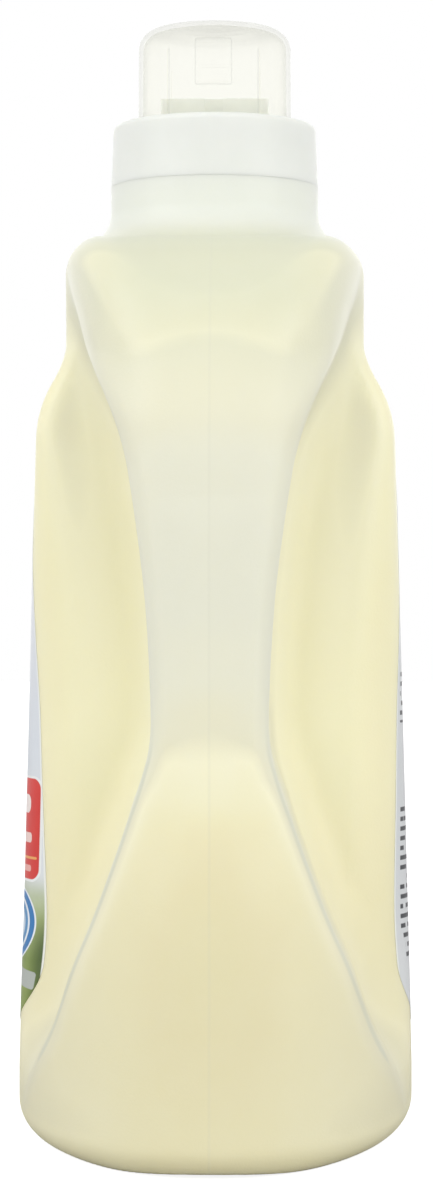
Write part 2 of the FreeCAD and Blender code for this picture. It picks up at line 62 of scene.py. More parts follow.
TURN = np.array([
    (0.0, 4.2), (18.0, 5.0), (29.0, 10.0), (43.0, 14.5), (60.0, 17.5),
    (80.0, 18.0), (110.0, 18.0), (140.0, 15.0), (170.0, 9.0), (200.0, 4.2),
    (252.0, 4.2),
])


def fine_table(rough):
    """A smooth curve through a table, and its slope, at many heights."""
    xs, ys = rough[:, 0], rough[:, 1]
    h = np.diff(xs)
    d = np.diff(ys) / h
    m = np.zeros(len(xs))
    for i in range(1, len(xs) - 1):
        if d[i - 1] * d[i] > 0:
            mean = (h[i - 1] * d[i] + h[i] * d[i - 1]) / (h[i - 1] + h[i])
            most = 3 * min(abs(d[i - 1]), abs(d[i]))
            m[i] = max(-most, min(most, mean))
    m[0], m[-1] = (3 * d[0] - m[1]) / 2, (3 * d[-1] - m[-2]) / 2
    m[0], m[-1] = m[0] * (m[0] * d[0] > 0), m[-1] * (m[-1] * d[-1] > 0)
    z = np.linspace(0.0, 252.0, 5041)
    i = np.clip(np.searchsorted(xs, z, side="right") - 1, 0, len(xs) - 2)
    s = (z - xs[i]) / h[i]
    y = (
        ys[i] * (2 * s**3 - 3 * s**2 + 1)
        + m[i] * h[i] * (s**3 - 2 * s**2 + s)
        + ys[i + 1] * (3 * s**2 - 2 * s**3)
        + m[i + 1] * h[i] * (s**3 - s**2)
    )
    return z, y, np.gradient(y, z)


STRIP_Z, STRIP_Y, STRIP_G = fine_table(STRIP)
TURN_Z, TURN_R, _ = fine_table(TURN)


def meet(a, b, r):
    """Inside both, with the edge between them rounded to r."""
    return np.where((a > -r) & (b > -r), np.hypot(a + r, b + r) - r, np.maximum(a, b))


def join(a, b, r):
    """Inside either, with the hollow between them rounded to r."""
    return -meet(-a, -b, r)


def oval(x, y, near, far, half, power_near, power_far):
    right = x > PLAN_CENTRE
    a = np.where(right, near, far)
    p = np.where(right, power_near, power_far)
    s = np.maximum(np.abs(x - PLAN_CENTRE) / a, 1e-9)
    w = np.maximum(np.abs(y) / half, 1e-9)
    q = (s**p + w**p) ** (1.0 / p)
    k = q ** (1 - p)
    return (q - 1) / np.maximum(np.hypot(k * s ** (p - 1) / a, k * w ** (p - 1) / half), 1e-6)


def roof(x, z):
    out = z - BODY_TOP
    for edge, run, foot, way in ROOF:
        s = (x - edge) * way / run
        rise = BODY_TOP - foot
        w = (z - foot) / rise
        q = np.maximum(np.hypot(s, w), 1e-9)
        curved = (q - 1) / np.hypot(s / q / run, w / q / rise)
        plain = (s - 1) * run + (z - foot) * 0.3
        out = np.where(s > 0, np.where(w > 0, curved, plain), out)
    return out


def trunk(x, y, z):
    t = np.clip((z - 17.0) / 174.0, 0.0, 1.15)
    half = HALF_LOW + (HALF_HIGH - HALF_LOW) * t
    L, xc = HALF_LENGTH, PLAN_CENTRE
    chamber = oval(x, y, L - xc, L + xc, half, 2.15, 2.5)
    chamber = meet(chamber, z - SHOULDER_TOP, SHOULDER_ROUND)
    block = oval(x, y, L - xc - 6, L + xc - 6, BLOCK_HALF, 2.7, 2.7)
    body = meet(join(chamber, block, 3.7), roof(x, z), BLOCK_ROUND)
    return meet(body, -z, BASE_ROUND)


def face_form(x, y, z):
    """The blown body with its recess, before finger hole, neck and base."""
    edge = np.interp(z, STRIP_Z, STRIP_Y)
    slope = np.interp(z, STRIP_Z, STRIP_G)
    shelf = (edge - np.abs(y)) / np.hypot(1.0, slope)
    hollow = meet(RECESS_WALL - x, shelf, RECESS_INNER)
    t = np.clip((42.0 - x) / 14.0, 0.0, 1.0)
    turn = RECESS_EDGE + (np.interp(z, TURN_Z, TURN_R) - RECESS_EDGE) * t * t * (3 - 2 * t)
    return meet(trunk(x, y, z), -hollow, turn)


def body(x, y, z):
    """The blown body below the collar, with handle, finger hole and base."""
    f = face_form(x, y, z)
    x0, x1, z0, z1, corner, mouth = GRIP
    dx = np.abs(x - (x0 + x1) / 2) - ((x1 - x0) / 2 - corner)
    dz = np.abs(z - (z0 + z1) / 2) - ((z1 - z0) / 2 - corner)
    hole = np.hypot(np.maximum(dx, 0), np.maximum(dz, 0)) + np.minimum(np.maximum(dx, dz), 0) - corner
    f = meet(f, -hole, mouth)
    neck = np.maximum(np.hypot(x - NECK_X, y) - NECK_R, 236.0 - z)
    f = join(f, neck, 10.0)
    a, b, c = DISH
    q = np.maximum(np.sqrt((x / a) ** 2 + (y / b) ** 2 + (z / c) ** 2), 1e-6)
    g = np.sqrt((x / a / a) ** 2 + (y / b / b) ** 2 + (z / c / c) ** 2) / q
    f = meet(f, -(q - 1) / np.maximum(g, 1e-6), 1.5)
    big = (SEAM_HALF**2 + SEAM_DEPTH**2) / (2 * SEAM_DEPTH)
    return meet(f, big - np.hypot(y, z - SEAM_DEPTH + big), 1.0)


def slope_of(field, p, h=0.03):
    g = np.empty_like(p)
    for k in range(3):
        d = np.zeros(3)
        d[k] = h
        a, b = p + d, p - d
        g[:, k] = (field(*a.T) - field(*b.T)) / (2 * h)
    return g


def net(field, lo, hi, step):
    """A quad mesh of the surface where field is 0, its points moved onto it."""
    n = [int(math.ceil((b - a) / step)) + 1 for a, b in zip(lo, hi)]
    axes = [lo[k] + step * np.arange(n[k]) for k in range(3)]
    G = field(*np.meshgrid(*axes, indexing="ij"))
    inside = G < 0
    cells = [v - 1 for v in n]
    count = np.zeros(cells, np.int32)
    total = np.zeros([3] + cells)
    crossing = []
    for k in range(3):
        lowside = [slice(None)] * 3
        highside = [slice(None)] * 3
        lowside[k], highside[k] = slice(0, -1), slice(1, None)
        a, b = G[tuple(lowside)], G[tuple(highside)]
        cross = inside[tuple(lowside)] != inside[tuple(highside)]
        crossing.append((cross, inside[tuple(lowside)]))
        t = np.where(cross, a / np.where(cross, a - b, 1.0), 0.0)
        u, v = [q for q in range(3) if q != k]
        for du in (0, 1):
            for dv in (0, 1):
                cut = [slice(None)] * 3
                cut[u] = slice(du, du + cells[u])
                cut[v] = slice(dv, dv + cells[v])
                c = cross[tuple(cut)]
                count += c
                total[k] += t[tuple(cut)]
                total[u] += du * c
                total[v] += dv * c
    index = np.full(cells, -1, np.int64)
    live = count > 0
    index[live] = np.arange(int(live.sum()))
    where = np.argwhere(live)
    mean = total[:, live].T / count[live][:, None]
    points = np.array(lo) + (where + mean) * step
    quads = []
    for k in range(3):
        cross, first = crossing[k]
        u, v = (k + 1) % 3, (k + 2) % 3
        e = np.argwhere(cross)
        keep = (e[:, u] > 0) & (e[:, v] > 0) & (e[:, u] < cells[u]) & (e[:, v] < cells[v])
        e = e[keep]
        out = first[tuple(e.T)]
        ring = []
        for du, dv in ((-1, -1), (0, -1), (0, 0), (-1, 0)):
            c = e.copy()
            c[:, u] += du
            c[:, v] += dv
            ring.append(index[tuple(c.T)])
        q = np.stack(ring, 1)
        q[~out] = q[~out][:, ::-1]
        quads.append(q)
    quads = np.concatenate(quads)
    quads = quads[(quads >= 0).all(1)]
    edges = np.concatenate([quads[:, [i, (i + 1) % 4]] for i in range(4)])

    def onto(p, times):
        for _ in range(times):
            g = slope_of(field, p)
            f = field(*p.T)
            move = -(f / np.maximum((g * g).sum(1), 1e-6))[:, None] * g
            far = np.linalg.norm(move, axis=1, keepdims=True)
            p = p + move * np.minimum(1.0, 0.8 * step / np.maximum(far, 1e-9))
        return p

    points = onto(points, 2)
    for _ in range(3):
        mean = np.zeros_like(points)
        many = np.zeros(len(points))
        np.add.at(mean, edges[:, 0], points[edges[:, 1]])
        np.add.at(many, edges[:, 0], 1)
        points = onto(0.4 * points + 0.6 * mean / np.maximum(many, 1)[:, None], 1)
    points = onto(points, 2)
    g = slope_of(field, points)
    return points, quads, g / np.linalg.norm(g, axis=1, keepdims=True), edges


def lathe(profile, turns, axis_x):
    """A surface turned about an upright axis. profile is (radius, height)."""
    pts, quads = [], []
    a = np.arange(turns) * 2 * math.pi / turns
    for r, z in profile:
        pts.append(np.stack([axis_x + r * np.cos(a), r * np.sin(a), np.full(turns, z)], 1))
    for i in range(len(profile) - 1):
        for j in range(turns):
            k = (j + 1) % turns
            quads.append((i * turns + j, i * turns + k, (i + 1) * turns + k, (i + 1) * turns + j))
    return np.concatenate(pts), np.array(quads)


def mesh_object(name, points, faces, normals=None, layers=None):
    mesh = bpy.data.meshes.new(name)
    mesh.from_pydata((points * MM).tolist(), [], [list(map(int, f)) for f in faces])
    mesh.polygons.foreach_set("use_smooth", [True] * len(mesh.polygons))
    for key, values in (layers or {}).items():
        layer = mesh.attributes.new(key, "FLOAT", "POINT")
        layer.data.foreach_set("value", np.asarray(values, np.float32))
    mesh.update()
    if normals is not None:
        mesh.normals_split_custom_set_from_vertices([tuple(v) for v in normals])
    obj = bpy.data.objects.new(name, mesh)
    bpy.context.scene.collection.objects.link(obj)
    return obj


# ------------------------------------------------------------- node shorthand
class Nodes:
    def __init__(self, name):
        self.mat = bpy.data.materials.new(name)
        self.mat.use_nodes = True
        self.tree = self.mat.node_tree
        self.tree.nodes.clear()
        self.out = self.add("ShaderNodeOutputMaterial")

    def add(self, kind, **props):
        node = self.tree.nodes.new(kind)
        for k, v in props.items():
            setattr(node, k, v)
        return node

    def link(self, a, b):
        self.tree.links.new(a, b)

    def put(self, socket, value):
        if isinstance(value, bpy.types.NodeSocket):
            self.link(value, socket)
        else:
            socket.default_value = value

    def math(self, op, a, b=0.0, c=0.0, clamp=False):
        n = self.add("ShaderNodeMath", operation=op, use_clamp=clamp)
        for s, v in zip(n.inputs, (a, b, c)):
            self.put(s, v)
        return n.outputs[0]

    def mix(self, factor, a, b):
        n = self.add("ShaderNodeMix", data_type="RGBA")
        self.put(n.inputs[0], factor)
        self.put(n.inputs[6], a)
        self.put(n.inputs[7], b)
        return n.outputs[2]

    def noise(self, vector, scale, detail=3.0, rough=0.5):
        n = self.add("ShaderNodeTexNoise")
        self.put(n.inputs["Vector"], vector)
        n.inputs["Scale"].default_value = scale
        n.inputs["Detail"].default_value = detail
        n.inputs["Roughness"].default_value = rough
        return n.outputs["Fac"]

    def ramp(self, factor, stops, mode="LINEAR"):
        n = self.add("ShaderNodeValToRGB")
        n.color_ramp.interpolation = mode
        while len(n.color_ramp.elements) < len(stops):
            n.color_ramp.elements.new(0.5)
        for e, (pos, col) in zip(n.color_ramp.elements, stops):
            e.position = pos
            e.color = (*col, 1.0)
        self.put(n.inputs[0], factor)
        return n.outputs[0]

    def span(self, value, a, b, smooth=True):
        n = self.add("ShaderNodeMapRange", interpolation_type="SMOOTHSTEP" if smooth else "LINEAR")
        self.put(n.inputs[0], value)
        n.inputs[1].default_value, n.inputs[2].default_value = a, b
        n.inputs[3].default_value, n.inputs[4].default_value = 0.0, 1.0
        return n.outputs[0]

    def place(self):
        """x, y and z of the surface in the piece's own frame, in millimetres."""
        c = self.add("ShaderNodeTexCoord")
        s = self.add("ShaderNodeSeparateXYZ")
        m = self.add("ShaderNodeVectorMath", operation="SCALE")
        self.link(c.outputs["Object"], m.inputs[0])
        m.inputs["Scale"].default_value = 1000.0
        self.link(m.outputs[0], s.inputs[0])
        return m.outputs[0], s.outputs[0], s.outputs[1], s.outputs[2]

    def bump(self, height, strength, distance=0.0002):
        n = self.add("ShaderNodeBump")
        n.inputs["Strength"].default_value = strength
        n.inputs["Distance"].default_value = distance
        self.link(height, n.inputs["Height"])
        return n.outputs[0]

    def principled(self, **values):
        n = self.add("ShaderNodeBsdfPrincipled")
        for k, v in values.items():
            self.put(n.inputs[k.replace("_", " ")], v)
        return n


def srgb(r, g, b):
    def lin(c):
        c /= 255.0
        return c / 12.92 if c <= 0.04045 else ((c + 0.055) / 1.055) ** 2.4

    return (lin(r), lin(g), lin(b))


def wear(obj, mat):
    obj.data.materials.clear()
    obj.data.materials.append(mat)


# ------------------------------------------------------------------ the bottle
step = 1.5
points, quads, normals, edges = net(body, (-96.0, -58.6, -1.5), (96.0, 58.7, 259.0), step)
# the part of the neck above this height is turned, so that its edges are crisp
CUT = 253.8
high = points[:, 2] > CUT - 0.2
points[high, 2] = CUT
keep = ~(points[quads][:, :, 2] >= CUT).all(1)
quads = quads[keep]


def liquid_depth(p, n):
    """How much liquid lies behind each point, in mm, over rays round the
    inward normal: what the wall's tint depends on."""
    grid_step = 3.0
    lo = np.array((-96.0, -60.0, -3.0))
    size = (65, 41, 84)
    ax = [lo[k] + grid_step * np.arange(size[k]) for k in range(3)]
    G = body(*np.meshgrid(*ax, indexing="ij"))
    wet = np.clip(0.5 - (G + WALL) / grid_step, 0, 1)
    wet *= np.clip(0.5 - (ax[2] - FILL_LEVEL) / grid_step, 0, 1)[None, None, :]
    helper = np.where(np.abs(n[:, 2:3]) < 0.9, np.array([[0, 0, 1.0]]), np.array([[1.0, 0, 0]]))
    t1 = np.cross(n, helper)
    t1 /= np.linalg.norm(t1, axis=1, keepdims=True)
    t2 = np.cross(n, t1)
    total = np.zeros(len(p))
    rays = [(0.0, 0.0)] + [(0.34, a) for a in np.arange(6) * math.pi / 3]
    rays += [(0.62, a) for a in np.arange(6) * math.pi / 3 + 0.5]
    weights = [1.0] + [0.8] * 6 + [0.45] * 6
    for (lean, a), weight in zip(rays, weights):
        d = -n * math.cos(lean) + (t1 * math.cos(a) + t2 * math.sin(a)) * math.sin(lean)
        depth = np.zeros(len(p))
        going = np.ones(len(p))
        for k in range(1, 62):
            q = p + d * (k * grid_step)
            i = np.rint((q - lo) / grid_step).astype(int)
            for c in range(3):
                i[:, c] = np.clip(i[:, c], 0, size[c] - 1)
            w = wet[i[:, 0], i[:, 1], i[:, 2]]
            going = np.where((w < 0.05) & (k > 3), going * 0.55, going)
            depth += w * grid_step * going
        total += weight * depth
    return total / sum(weights)


depth = liquid_depth(points, normals)
# above the liquid's surface the wall stays milky
rise = np.clip((points[:, 2] - 236.0) / 6.0, 0, 1)
depth *= 1 - 0.85 * rise * rise * (3 - 2 * rise)
for _ in range(10):
    mean = np.zeros(len(points))
    many = np.zeros(len(points))
    np.add.at(mean, edges[:, 0], depth[edges[:, 1]])
    np.add.at(many, edges[:, 0], 1)
    depth = 0.4 * depth + 0.6 * mean / np.maximum(many, 1)

used = np.unique(quads)
remap = np.full(len(points), -1)
remap[used] = np.arange(len(used))
points, normals, depth, quads = points[used], normals[used], depth[used], remap[quads]
rim = np.isclose(points[:, 2], CUT)
turned = points[rim] - np.array([NECK_X, 0, 0])
turned[:, :2] *= (NECK_R / np.linalg.norm(turned[:, :2], axis=1))[:, None]
points[rim] = turned + np.array([NECK_X, 0, 0])

neck_profile = [
    (28.6, CUT), (28.6, 256.5), (28.6, 260.1), (28.59, 260.16), (28.55, 260.19), (28.4, 260.195),
    (26.3, 260.195), (26.3, 260.7), (26.3, 264.0), (26.3, 272.8), (26.1, 273.35), (25.7, 273.55),
    (25.3, 273.55), (24.95, 273.3), (24.85, 272.9), (24.85, 262.0), (24.85, 250.0), (24.85, 238.9),
    (24.0, 238.5), (0.01, 238.5),
]
neck_points, neck_quads = lathe(neck_profile, 128, NECK_X)
# normals of the turned part, sharp where its profile turns sharply
all_points = np.concatenate([points, neck_points])
all_quads = np.concatenate([quads, neck_quads + len(points)])
slopes = []
for i, (r, z) in enumerate(neck_profile):
    a = neck_profile[max(i - 1, 0)]
    b = neck_profile[min(i + 1, len(neck_profile) - 1)]
    t = np.array([b[0] - a[0], b[1] - a[1]])
    slopes.append(np.array([t[1], -t[0]]) / max(np.linalg.norm(t), 1e-9))
ang = np.arange(128) * 2 * math.pi / 128
neck_normals = np.concatenate([
    np.stack([s[0] * np.cos(ang), s[0] * np.sin(ang), np.full(128, s[1])], 1) for s in slopes
])
bottle = mesh_object(
    "bottle_shell",
    all_points,
    all_quads,
    np.concatenate([normals, neck_normals]),
    {"liquid_depth": np.concatenate([depth, np.zeros(len(neck_points))])},
)
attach(bottle, "jug")
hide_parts("bottle", "bottle_neck")


def jug_material():
    n = Nodes("jug_plastic")
    place, x, y, z = n.place()
    deep = n.add("ShaderNodeAttribute", attribute_name="liquid_depth").outputs["Fac"]
    cloud = n.noise(place, 0.035, 3.0, 0.5)
    deep = n.math("MULTIPLY", deep, n.math("MULTIPLY_ADD", cloud, 0.12, 0.94))
    # the wall's tint by the liquid behind it: partly the liquid's own colour, partly painted light, brightest
    # on the chamber's walls for light passing through, and painted shade, greyer, on the handle's strip
    tint = n.ramp(
        n.math("DIVIDE", deep, 150.0),
        [
            (0.0, srgb(232, 235, 226)),
            (0.12, srgb(228, 229, 214)),
            (0.26, srgb(236, 235, 213)),
            (0.46, srgb(237, 234, 206)),
            (0.58, srgb(255, 250, 216)),
            (0.76, srgb(251, 244, 203)),
            (0.88, srgb(246, 237, 194)),
            (1.0, srgb(243, 235, 190)),
        ],
    )
    # darker towards the base: partly the deeper liquid's own tint, partly painted shade where less light comes
    # from below
    tint = n.mix(n.math("MULTIPLY", n.span(z, 122.0, 24.0), 0.5), tint, (*srgb(220, 213, 173), 1.0))
    # painted shade: the block under the neck faces up, and its wall is painted greyest, least at its sides
    shade = n.math("MULTIPLY", n.span(z, 190.0, 232.0), n.span(x, -20.0, 10.0))
    shade = n.math("MULTIPLY", shade, n.span(z, 249.0, 241.0))
    shade = n.math("MULTIPLY", shade, n.span(n.math("ABSOLUTE", y), 52.0, 14.0))
    tint = n.mix(n.math("MULTIPLY", shade, 0.9), tint, (*srgb(220, 222, 196), 1.0))
    tint = n.mix(n.span(z, 242.0, 257.0), tint, (*srgb(233, 236, 226), 1.0))
    mottle = n.noise(place, 0.12, 4.0, 0.6)
    tint = n.mix(n.math("MULTIPLY", mottle, 0.08), tint, (*srgb(250, 250, 242), 1.0))
    # painted shade: a fine dark line along the handle's lower edges, with a paler band beside it; and the
    # mould's parting line
    edge = n.add("ShaderNodeFloatCurve")
    curve = edge.mapping.curves[0]
    heights = [0.0, 18.0, 30.0, 50.4, 65.1, 77.7, 89.3, 101.9, 110.0, 123.9, 149.1, 175.4, 198.5, 224.4, 252.0]
    for k, h in enumerate(heights):
        at = (h / 252.0, float(np.interp(h, STRIP_Z, STRIP_Y)) / 64.0)
        if k in (0, len(heights) - 1):
            curve.points[0 if k == 0 else -1].location = at
        else:
            curve.points.new(*at)
    edge.mapping.update()
    n.link(n.math("DIVIDE", z, 252.0), edge.inputs["Value"])
    side = n.math("ABSOLUTE", y)
    off = n.math("SUBTRACT", side, n.math("MULTIPLY", edge.outputs[0], 64.0))
    low = n.math("MULTIPLY", n.span(z, 118.0, 100.0), n.span(z, 12.0, 26.0))
    low = n.math("MULTIPLY", low, n.span(x, 40.0, 46.0))
    line = n.math("SUBTRACT", 1.0, n.span(n.math("ABSOLUTE", n.math("ADD", off, 0.6)), 0.1, 0.8))
    band = n.math("SUBTRACT", 1.0, n.span(n.math("ABSOLUTE", n.math("SUBTRACT", off, 2.0)), 0.2, 3.0))
    tint = n.mix(n.math("MULTIPLY", n.math("MULTIPLY", band, low), 0.35), tint, (*srgb(226, 230, 214), 1.0))
    tint = n.mix(n.math("MULTIPLY", n.math("MULTIPLY", line, low), 0.45), tint, (*srgb(196, 202, 184), 1.0))
    part = n.math("SUBTRACT", 1.0, n.span(side, 0.15, 0.55))
    part = n.math("MULTIPLY", part, n.span(z, 246.0, 238.0))
    tint = n.mix(n.math("MULTIPLY", part, 0.12), tint, (*srgb(214, 214, 196), 1.0))
    grain = n.noise(place, 1.4, 2.0, 0.5)
    height = n.math("MULTIPLY_ADD", part, 0.5, grain)
    rough = n.math("MULTIPLY_ADD", mottle, 0.16, 0.28)
    shader = n.principled(
        Base_Color=tint,
        Roughness=rough,
        IOR=1.5,
        Subsurface_Weight=0.25,
        Subsurface_Radius=(1.0, 0.95, 0.8),
        Subsurface_Scale=0.004,
        Specular_IOR_Level=0.45,
        Normal=n.bump(height, 0.12, 0.0003),
    )
    n.link(shader.outputs[0], n.out.inputs[0])
    return n.mat


wear(bottle, jug_material())


# ------------------------------------------------------------------ the labels
def face_half(x, z, level):
    """Half depth of the broad face at each x and z, grown by level."""
    a, b = np.full(x.shape, 5.0), np.full(x.shape, 75.0)
    for _ in range(40):
        m = (a + b) / 2
        low = face_form(x, m, z) < level
        a, b = np.where(low, m, a), np.where(low, b, m)
    return (a + b) / 2


FRONT = dict(low=27.3, high=180.6, far=-77.7, near_low=16.2, near_high=6.0, corner=17.0)
BACK = dict(FRONT, near_low=13.2, near_high=3.0)


def label_rows(L):
    """Each row of a label: its height and its two ends, round its corners."""
    lean = math.atan2(L["near_low"] - L["near_high"], L["high"] - L["low"])
    r = L["corner"]

    def near(z):
        return L["near_low"] + (L["near_high"] - L["near_low"]) * (z - L["low"]) / (L["high"] - L["low"])

    # circle centres at the corners by the handle, against a leaning edge
    def centre(z0):
        return near(z0) - r / math.cos(lean)

    rows = []
    n = 26
    for i in range(n):
        t = i / n * math.pi / 2
        z = L["low"] + r * (1 - math.cos(t))
        rows.append(z)
    rows += list(np.linspace(L["low"] + r, L["high"] - r, 70))
    for i in range(1, n + 1):
        t = i / n * math.pi / 2
        rows.append(L["high"] - r + r * math.sin(t))
    out = []
    for z in rows:
        left, right = L["far"], near(z)
        if z < L["low"] + r:
            left = L["far"] + r - math.sqrt(max(r * r - (L["low"] + r - z) ** 2, 0))
            right = min(right, centre(L["low"] + r) + math.sqrt(max(r * r - (L["low"] + r - z) ** 2, 0)))
        if z > L["high"] - r:
            left = L["far"] + r - math.sqrt(max(r * r - (z - L["high"] + r) ** 2, 0))
            right = min(right, centre(L["high"] - r) + math.sqrt(max(r * r - (z - L["high"] + r) ** 2, 0)))
        out.append((z, left, right))
    return out


def label(name, node, side, outline):
    rows = label_rows(outline)
    across = 48
    t = 0.5 - 0.5 * np.cos(np.linspace(0, math.pi, across))
    X = np.array([a + (b - a) * t for _, a, b in rows])
    Z = np.array([[z] * across for z, _, _ in rows])
    n, m = X.shape
    layers = []
    for level in (0.13, 0.02):
        Y = face_half(X, Z, level) * side
        layers.append(np.stack([X, Y, Z], 2).reshape(-1, 3))
    pts = np.concatenate(layers)
    faces = []
    for i in range(n - 1):
        for j in range(m - 1):
            a, b, c, d = i * m + j, i * m + j + 1, (i + 1) * m + j + 1, (i + 1) * m + j
            faces.append((a, b, c, d) if side < 0 else (a, d, c, b))
            e = n * m
            faces.append((a + e, d + e, c + e, b + e) if side < 0 else (a + e, b + e, c + e, d + e))
    ring = [j for j in range(m)] + [i * m + m - 1 for i in range(1, n)]
    ring += [(n - 1) * m + j for j in range(m - 2, -1, -1)] + [i * m for i in range(n - 2, 0, -1)]
    for k in range(len(ring)):
        a, b = ring[k], ring[(k + 1) % len(ring)]
        e = n * m
        faces.append((a, a + e, b + e, b) if side < 0 else (a, b, b + e, a + e))
    obj = mesh_object(name, pts, faces)
    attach(obj, "jug")
    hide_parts(node)
    return obj


front = label("front_film", "front_label", -1, FRONT)
back = label("back_film", "back_label", 1, BACK)


def box_mask(n, x, z, cx, cz, hx, hz, corner, soft=0.12):
    """1 inside a rounded rectangle of x and z, in mm."""
    dx = n.math("SUBTRACT", n.math("ABSOLUTE", n.math("SUBTRACT", x, cx)), hx - corner)
    dz = n.math("SUBTRACT", n.math("ABSOLUTE", n.math("SUBTRACT", z, cz)), hz - corner)
    px, pz = n.math("MAXIMUM", dx, 0.0), n.math("MAXIMUM", dz, 0.0)
    far = n.math("SQRT", n.math("ADD", n.math("MULTIPLY", px, px), n.math("MULTIPLY", pz, pz)))
    near = n.math("MINIMUM", n.math("MAXIMUM", dx, dz), 0.0)
    d = n.math("SUBTRACT", n.math("ADD", far, near), corner)
    return n.math("SUBTRACT", 1.0, n.span(d, -soft, soft))


def ring_mask(n, x, z, cx, cz, radius, half, soft=0.12):
    dx, dz = n.math("SUBTRACT", x, cx), n.math("SUBTRACT", z, cz)
    r = n.math("SQRT", n.math("ADD", n.math("MULTIPLY", dx, dx), n.math("MULTIPLY", dz, dz)))
    d = n.math("SUBTRACT", n.math("ABSOLUTE", n.math("SUBTRACT", r, radius)), half)
    return n.math("SUBTRACT", 1.0, n.span(d, -soft, soft))


def film_shader(n, colour, place):
    grain = n.noise(place, 0.6, 2.0, 0.5)
    shader = n.principled(
        Base_Color=colour,
        Roughness=n.math("MULTIPLY_ADD", grain, 0.12, 0.26),
        IOR=1.48,
        Normal=n.bump(n.noise(place, 0.05, 2.0, 0.5), 0.15, 0.0006),
    )
    n.link(shader.outputs[0], n.out.inputs[0])
    return n.mat


def edge_way(n, x, z, near_low, near_high):
    """How far each place lies from the label's edge by the handle, in mm."""
    lean = (near_low - near_high) / (FRONT["high"] - FRONT["low"])
    back = n.math("MULTIPLY", n.math("SUBTRACT", z, FRONT["low"]), lean)
    return n.math("SUBTRACT", near_low, n.math("ADD", x, back))


def front_material():
    n = Nodes("front_film")
    place, x, y, z = n.place()
    way = edge_way(n, x, z, FRONT["near_low"], FRONT["near_high"])
    cloud = n.noise(place, 0.03, 3.0, 0.55)
    c = n.ramp(
        n.span(z, 60.0, 178.0),
        [(0.0, srgb(222, 226, 230)), (0.35, srgb(216, 222, 230)), (0.7, srgb(226, 230, 236)), (1.0, srgb(232, 235, 239))],
    )
    c = n.mix(n.math("MULTIPLY", cloud, 0.25), c, (*srgb(244, 245, 247), 1.0))
    # green field printed over the lower part, with painted shade making it darkest by the handle's edge
    green = n.ramp(
        n.span(z, 27.0, 69.0, smooth=False),
        [
            (0.0, srgb(126, 146, 66)),
            (0.25, srgb(142, 160, 78)),
            (0.45, srgb(130, 150, 72)),
            (0.72, srgb(178, 192, 136)),
            (1.0, srgb(222, 228, 216)),
        ],
    )
    streak = n.noise(place, 0.10, 4.0, 0.6)
    green = n.mix(n.math("MULTIPLY", streak, 0.35), green, (*srgb(96, 120, 50), 1.0))
    # painted shade: the green darkened within a few mm of the handle's edge
    deep = n.math("MULTIPLY", n.span(n.math("ADD", way, n.math("MULTIPLY", streak, 2.0)), 7.0, 0.5), n.math(
        "MULTIPLY", n.span(z, 62.0, 48.0), n.span(z, 29.0, 38.0)))
    green = n.mix(n.math("MULTIPLY", deep, 0.85), green, (*srgb(52, 76, 30), 1.0))
    hill = n.math("MULTIPLY_ADD", n.noise(place, 0.02, 2.0, 0.5), 10.0, 61.0)
    c = n.mix(n.span(n.math("SUBTRACT", hill, z), -6.0, 3.0), c, green)
    # a plain broad panel in the middle of the face
    c = n.mix(box_mask(n, x, z, -34.0, 134.0, 30.0, 25.0, 7.0, 0.2), c, (*srgb(58, 104, 160), 1.0))
    c = n.mix(box_mask(n, x, z, -34.0, 134.0, 27.0, 22.0, 5.0, 0.2), c, (*srgb(236, 241, 246), 1.0))
    c = n.mix(box_mask(n, x, z, -34.0, 134.0, 20.0, 6.0, 3.0, 0.2), c, (*srgb(104, 150, 192), 1.0))
    # red block, blue ring and silver band by the handle's edge
    c = n.mix(box_mask(n, x, z, -7.5, 82.1, 19.6, 14.8, 3.6), c, (*srgb(238, 240, 240), 1.0))
    red = n.mix(streak, (*srgb(206, 46, 42), 1.0), (*srgb(224, 62, 54), 1.0))
    c = n.mix(box_mask(n, x, z, -7.5, 82.1, 18.9, 14.1, 3.0), c, red)
    c = n.mix(box_mask(n, x, z, -6.0, 89.0, 13.0, 2.6, 2.2), c, (*srgb(246, 234, 230), 1.0))
    c = n.mix(box_mask(n, x, z, -6.0, 79.6, 14.0, 1.4, 1.0), c, (*srgb(244, 214, 208), 1.0))
    c = n.mix(box_mask(n, x, z, -6.5, 74.0, 17.0, 0.35, 0.3), c, (*srgb(240, 170, 96), 1.0))
    c = n.mix(box_mask(n, x, z, -6.0, 71.0, 14.0, 0.9, 0.8), c, (*srgb(240, 176, 168), 1.0))
    c = n.mix(ring_mask(n, x, z, 1.6, 55.3, 0.0, 10.0), c, (*srgb(236, 241, 246), 1.0))
    c = n.mix(ring_mask(n, x, z, 1.6, 55.3, 8.3, 1.1), c, (*srgb(44, 120, 184), 1.0))
    c = n.mix(ring_mask(n, x, z, 1.6, 55.3, 0.0, 6.2), c, (*srgb(80, 142, 194), 1.0))
    c = n.mix(ring_mask(n, x, z, 1.6, 55.3, 0.0, 4.2), c, (*srgb(206, 220, 234), 1.0))
    slant = n.math("MULTIPLY_ADD", x, 0.10, z)
    c = n.mix(box_mask(n, x, slant, -14.0, 41.4, 27.6, 2.4, 0.8), c, (*srgb(176, 182, 176), 1.0))
    # the white margin that follows the edge by the handle
    c = n.mix(n.span(way, 0.55, 0.25), c, (*srgb(240, 242, 238), 1.0))
    return film_shader(n, c, place)


